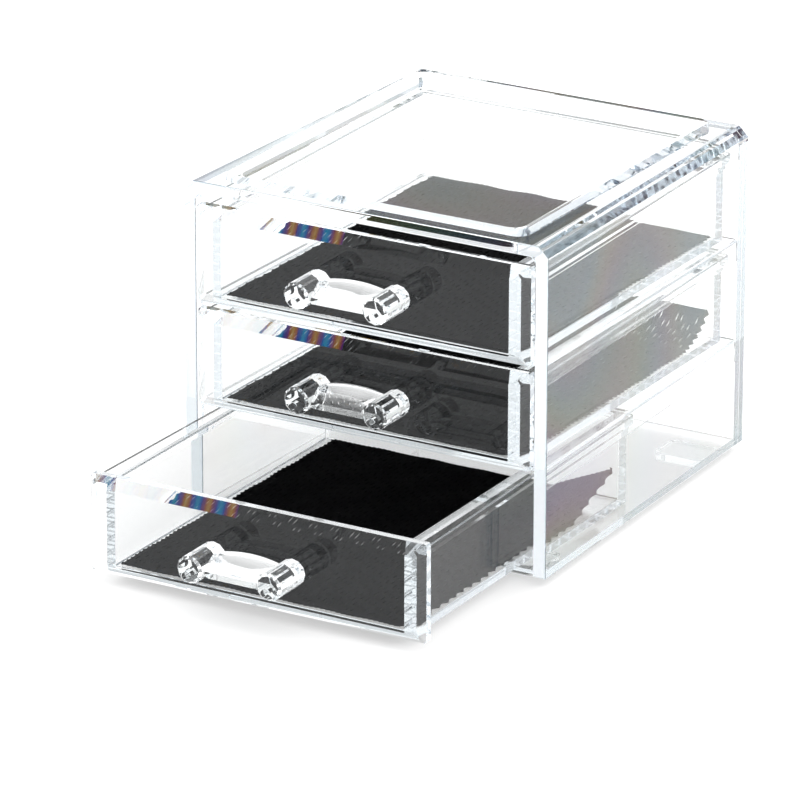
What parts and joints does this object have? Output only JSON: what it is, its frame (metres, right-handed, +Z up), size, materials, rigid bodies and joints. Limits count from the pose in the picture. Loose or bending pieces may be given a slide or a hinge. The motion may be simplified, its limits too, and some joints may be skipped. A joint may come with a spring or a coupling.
{
  "type": "jewellery drawer organizer",
  "caption": "Clear plastic desk chest for jewellery: an open-fronted case with pull-out drawers, bevelled drawer fronts, faceted bow handles and black mesh liners.",
  "frame": {"origin": "on the surface that the feet stand on, under the middle of the case's width and depth", "axes": "+X to the right as seen from the front, +Y from the drawer fronts towards the back, +Z up"},
  "size_m": [0.12, 0.202, 0.1047],
  "materials": {
    "clear_case": "clear, polished",
    "clear_plate": "clear, polished",
    "clear_foot": "clear, polished",
    "clear_tray": "clear, polished",
    "clear_front": "clear, polished",
    "clear_handle": "clear, polished",
    "black_mesh": "soft eyelet mesh"
  },
  "bodies": {
    "case": {"case_shell": "clear_case", "case_back": "clear_plate", "case_floor": "clear_plate", "shelf_lower": "clear_plate", "shelf_upper": "clear_plate", "foot_front_left": "clear_foot", "foot_front_right": "clear_foot", "foot_rear_left": "clear_foot", "foot_rear_right": "clear_foot"},
    "bottom_drawer": {"bottom_drawer_tray": "clear_tray", "bottom_drawer_front": "clear_front", "bottom_drawer_handle": "clear_handle", "bottom_drawer_liner": "black_mesh"},
    "middle_drawer": {"middle_drawer_tray": "clear_tray", "middle_drawer_front": "clear_front", "middle_drawer_handle": "clear_handle", "middle_drawer_liner": "black_mesh"},
    "top_drawer": {"top_drawer_tray": "clear_tray", "top_drawer_front": "clear_front", "top_drawer_handle": "clear_handle", "top_drawer_liner": "black_mesh"}
  },
  "joints": [
    {"name": "bottom_drawer_slide", "type": "slide", "parent": "case", "child": "bottom_drawer", "axis": [0, -1, 0], "range_m": [-0.0585, 0.0295]},
    {"name": "middle_drawer_slide", "type": "slide", "parent": "case", "child": "middle_drawer", "axis": [0, -1, 0], "range_m": [0, 0.088]},
    {"name": "top_drawer_slide", "type": "slide", "parent": "case", "child": "top_drawer", "axis": [0, -1, 0], "range_m": [0, 0.088]}
  ]
}
